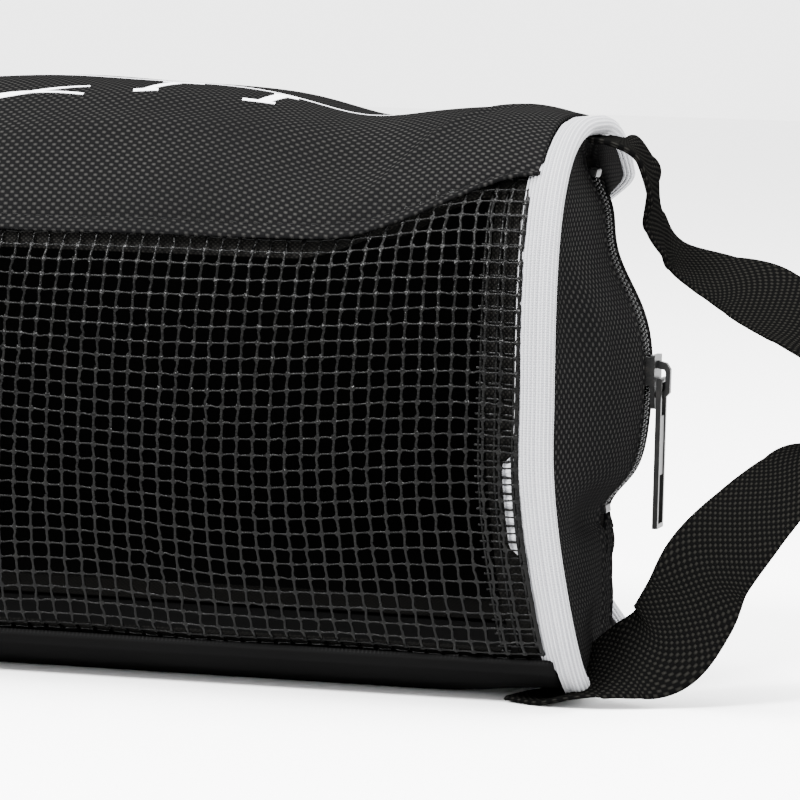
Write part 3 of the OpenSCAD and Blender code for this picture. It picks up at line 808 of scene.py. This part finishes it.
for node, a in (("top_stop", 25.9), ("bottom_stop", -16.0)):
    z = zip_height(a)
    tilt = math.atan((ridge(z + 1) - ridge(z - 1)) / 2)
    stop = block(node + "_clamp", [ridge(z) + 0.6, 0, z], [2.6, 7.0, 2.4], tilt)
    stop.data.materials.append(ENAMEL.mat)
    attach(stop, "bag")
    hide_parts(node)
for node in ("slider_body", "slider_pull"):
    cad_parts[node].data.materials.clear()
    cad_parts[node].data.materials.append(ENAMEL.mat)
    soften(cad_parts[node], 0.35)

# ---------------------------------------------------------------------------
# PIPING
# White woven tape folded round a cord and stitched into the seam round each end, its
# flat flange lying on the skin. At the zip end it is cut wider low on the near side.
# ---------------------------------------------------------------------------
WHITE = Look("white_piping", Roughness=0.7, Sheen_Weight=0.2, Sheen_Roughness=0.5)
PIPE_R, RIB = 2.70, 1.2  # radius of the covered cord, and pitch of the ribs across the tape
# colour painted darker in the hollows of the weave and the grooves between the ribs, lighter on the raised
# yarns: painted shade and painted highlight
h, _ = weave(WHITE, 0.75, 0.62, 0.75)
groove_shade = (WHITE.uv()[1] * (2 * math.pi / RIB)).math("COSINE") * 0.5 + 0.5
WHITE.drive("Base Color", WHITE.mix(h * 0.45 + groove_shade * 0.55, (0.075, 0.078, 0.09), (0.27, 0.27, 0.28)))
WHITE.bump(h, 0.0003, 0.9)


def piping(name, s):
    """Cord and flange of end s as one tape: a round bead, then a ribbed flat that tapers."""
    tt = np.linspace(0, 360, 481)[:-1][:, None]
    a = tt * s
    th = np.linspace(math.radians(-100), math.radians(118), 30)
    b1, d1 = CORD_R - PIPE_R * np.cos(th), 0.8 - PIPE_R * np.sin(th)
    run = np.linspace(0, 1, 26)
    b2, d2 = 5.0 + 6.4 * run, -1.45 + 0.75 * ease(run * 1.1) + 0.9 * ease((run - 0.55) / 0.45)
    b3, d3 = np.linspace(11.2, 5.6, 10), np.linspace(0.35, 0.55, 10)
    b, d = np.concatenate([b1, b2, b3])[None], np.concatenate([d1, d2, d3])[None]
    rib = np.arange(b.size) < b1.size + b2.size
    across = np.concatenate([[0], np.cumsum(np.hypot(np.diff(b[0]), np.diff(d[0])))])
    d = d - 0.22 * rib * np.cos(2 * np.pi * across / RIB)
    y0, z0 = skin_yz(a, 1.0, 0.0)
    under = np.maximum(ease((z0 - seam_z(1.0) - 1.5) / 2.5), ease((HEM_Z + 1 - z0) / 2.5))
    d = d + under * ease((b - 7.2) / 0.9) * np.maximum(0, 0.75 - d)
    wide = ease((b - 9.0) / 2) * ease((z0 - 44) / 4) * ease((75 - z0) / 4) * (y0 < 0) * (s > 0)
    b = b + 3.6 * wide
    d = d + 0.5 * wide
    stray = 0.18 * np.sin(np.radians(23 * tt)) + 0.14 * np.sin(np.radians(37 * tt + 60))
    d = d + 0.5 * stray * ease((b - 4) / 3)
    y, z = skin_yz(a, 1.0, d)
    P = np.stack([s * (HALF_L - b + lean(z)) - cave(y, z) * (s > 0), y, z], -1)
    return new_mesh(name, P, grid_faces(*P.shape[:2], True, True)[:, ::-1], loop_uv(P, across))


for s, end in ((1, "zip"), (-1, "base")):
    tape = piping(end + "_piping", s)
    tape.data.materials.append(WHITE.mat)
    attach(tape, "bag")
    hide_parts(end + "_piping_cord", end + "_piping_flange")

# ---------------------------------------------------------------------------
# HANDLE
# One length of black webbing, ribbed across, sewn into the end above the zip and under
# the floor, and twisted half way so that it hangs out as a loop.
# ---------------------------------------------------------------------------
WEBBING = Look("webbing", Roughness=0.55, Specular_IOR_Level=0.0)
h, odd = weave(WEBBING, 1.05, 1.25, 0.35)
# raised yarns of the weave painted lighter: painted highlight
WEBBING.drive("Base Color", WEBBING.mix(
    (h * odd).math("POWER", 1.6), (0.0012, 0.0012, 0.0012), (0.0065, 0.0063, 0.0056)))
WEBBING.bump(h, 0.0005, 0.9)
STRAP_W, STRAP_T = 30.0, 1.7

# Stations along the webbing from its upper seam to its lower one, from the end seam of the bag:
# where its middle lies, and which way its width points there.
PATH = np.array([
    [-3, 0, 163], [3, 0, 162], [8, 2, 159], [11, 7, 151], [11, 12, 143], [13, 17, 135], [17, 21, 128],
    [29, 21, 123], [44, 16, 118], [63, 0, 106], [72, -15, 84], [62, -24, 69], [50, -28, 55],
    [39, -29, 41], [34, -30, 29], [27, -31, 18], [17, -32, 13], [8, -34, 9], [-1, -34, 1.3],
    [-12, -30, 1.3]])
ACROSS = np.array([
    [0, 1, 0], [-0.05, 1, 0], [-0.1, 1, 0.05], [-0.1, 1, 0.05], [-0.05, 1, 0.1], [-0.1, 1, 0.1],
    [-0.05, 0.95, 0.2], [0.05, 0.9, 0.35], [0.2, 0.85, 0.5], [0.3, 0.9, 0.35], [-0.3, 0.95, -0.05],
    [-0.55, 0.75, 0.4], [-0.7, 0.5, 0.45], [-0.85, 0.3, 0.45], [-0.9, 0.2, 0.45],
    [-0.75, 0.3, 0.65], [-0.5, 0.65, 0.6], [-0.35, 0.85, 0.35], [0.25, 0.95, 0], [0.2, 1, 0]])


def spline(P, f):
    """A smooth curve through the rows of P at places f, by Catmull-Rom."""
    i = np.clip(np.floor(f).astype(int), 0, len(P) - 2)
    k = (f - i)[:, None]
    a, b, c, d = (P[np.clip(i + j, 0, len(P) - 1)] for j in (-1, 0, 1, 2))
    return 0.5 * (2 * b + (c - a) * k + (2 * a - 5 * b + 4 * c - d) * k ** 2
                  + (3 * b - a - 3 * c + d) * k ** 3)


f = np.linspace(0, len(PATH) - 1, 761)
c = spline(PATH, f) + [HALF_L, 0, 0]
t = np.gradient(c, axis=0)
t /= np.linalg.norm(t, axis=1, keepdims=True)
w = spline(ACROSS, f)
w -= (w * t).sum(1, keepdims=True) * t
w /= np.linalg.norm(w, axis=1, keepdims=True)
n = np.cross(t, w)
lane = np.linspace(-1, 1, 25)
soft = np.minimum(1, (1 - np.abs(lane)) * 12) ** 0.5
curl = 0.5 * (lane ** 2 - 0.4)
under = np.stack([lane, curl - STRAP_T / 2 * soft], 1)
over = np.stack([lane, curl + STRAP_T / 2 * soft], 1)
ring = np.concatenate([under, over[-2:0:-1]])
press = np.where(f > 15, 0.9, 1.0)[:, None, None]
P = (c[:, None] + w[:, None] * ring[None, :, :1] * (STRAP_W / 2 - 0.1)
     + n[:, None] * ring[None, :, 1:] * press)
P[..., 2] = np.maximum(P[..., 2], 0.05)
length = np.concatenate([[0], np.cumsum(np.linalg.norm(np.diff(c, axis=0), axis=1))])
uv = np.stack(np.broadcast_arrays(length[:, None], ring[None, :, 0] * STRAP_W / 2), -1)
handle = new_mesh("handle", P, grid_faces(len(f), len(ring), False, True)[:, ::-1], uv)
handle.data.materials.append(WEBBING.mat)
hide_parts("handle_strap", "strap_anchor_top", "strap_anchor_bottom")
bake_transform(handle)

# ---------------------------------------------------------------------------
# FLOOR, LIGHT AND CAMERA
# A pale studio floor under a white sky, with a key light in front, a broad one overhead
# and a weak one at the zip end. The camera stands low, a little to the zip end's side.
# ---------------------------------------------------------------------------
floor_me = bpy.data.meshes.new("floor")
floor_me.from_pydata([(-6, -6, 0), (6, -6, 0), (6, 6, 0), (-6, 6, 0)], [], [(0, 1, 2, 3)])
floor = bpy.data.objects.new("floor", floor_me)
bpy.context.scene.collection.objects.link(floor)
PALE = Look("pale_floor", Roughness=0.9)
PALE.shader.inputs["Base Color"].default_value = (0.86, 0.86, 0.86, 1)
floor_me.materials.append(PALE.mat)

world = bpy.data.worlds.new("studio")
world.use_nodes = True
world.node_tree.nodes["Background"].inputs[0].default_value = (1, 1, 1, 1)
world.node_tree.nodes["Background"].inputs[1].default_value = 3.9
bpy.context.scene.world = world


def softbox(name, where, aim, size, power):
    """A square area light at one place, aimed at another, with its size in metres and power in watts."""
    data = bpy.data.lights.new(name, "AREA")
    data.shape, data.size, data.energy = "SQUARE", size, power
    ob = bpy.data.objects.new(name, data)
    ob.location = where
    ob.rotation_euler = (Vector(aim) - Vector(where)).to_track_quat("-Z", "Y").to_euler()
    bpy.context.scene.collection.objects.link(ob)


softbox("key", (-0.5, -1.5, 1.5), (0.1, 0, 0.08), 0.5, 230)
softbox("overhead", (0.2, 0.1, 1.9), (0.1, 0, 0.1), 1.2, 150)
softbox("side", (1.7, -0.2, 0.9), (0.15, 0, 0.08), 0.8, 40)

AZ, EL, ROLL = math.radians(14.5), math.radians(5.0), math.radians(1.5)
AWAY, VIEW_WIDTH, SENSOR = 1.5, 0.246, 36
back = Vector((math.sin(AZ) * math.cos(EL), -math.cos(AZ) * math.cos(EL), math.sin(EL)))
right = Vector((math.cos(AZ), math.sin(AZ), 0))
up = back.cross(right)
aim = right * 0.1095 + up * 0.0800
camera_data = bpy.data.cameras.new("camera")
camera_data.sensor_width = SENSOR
camera_data.lens = SENSOR * AWAY / VIEW_WIDTH
camera = bpy.data.objects.new("camera", camera_data)
m = Matrix((right, up, back)).transposed().to_4x4() @ Matrix.Rotation(ROLL, 4, "Z")
m.translation = aim + back * AWAY
camera.matrix_world = m
bpy.context.scene.collection.objects.link(camera)
bpy.context.scene.camera = camera
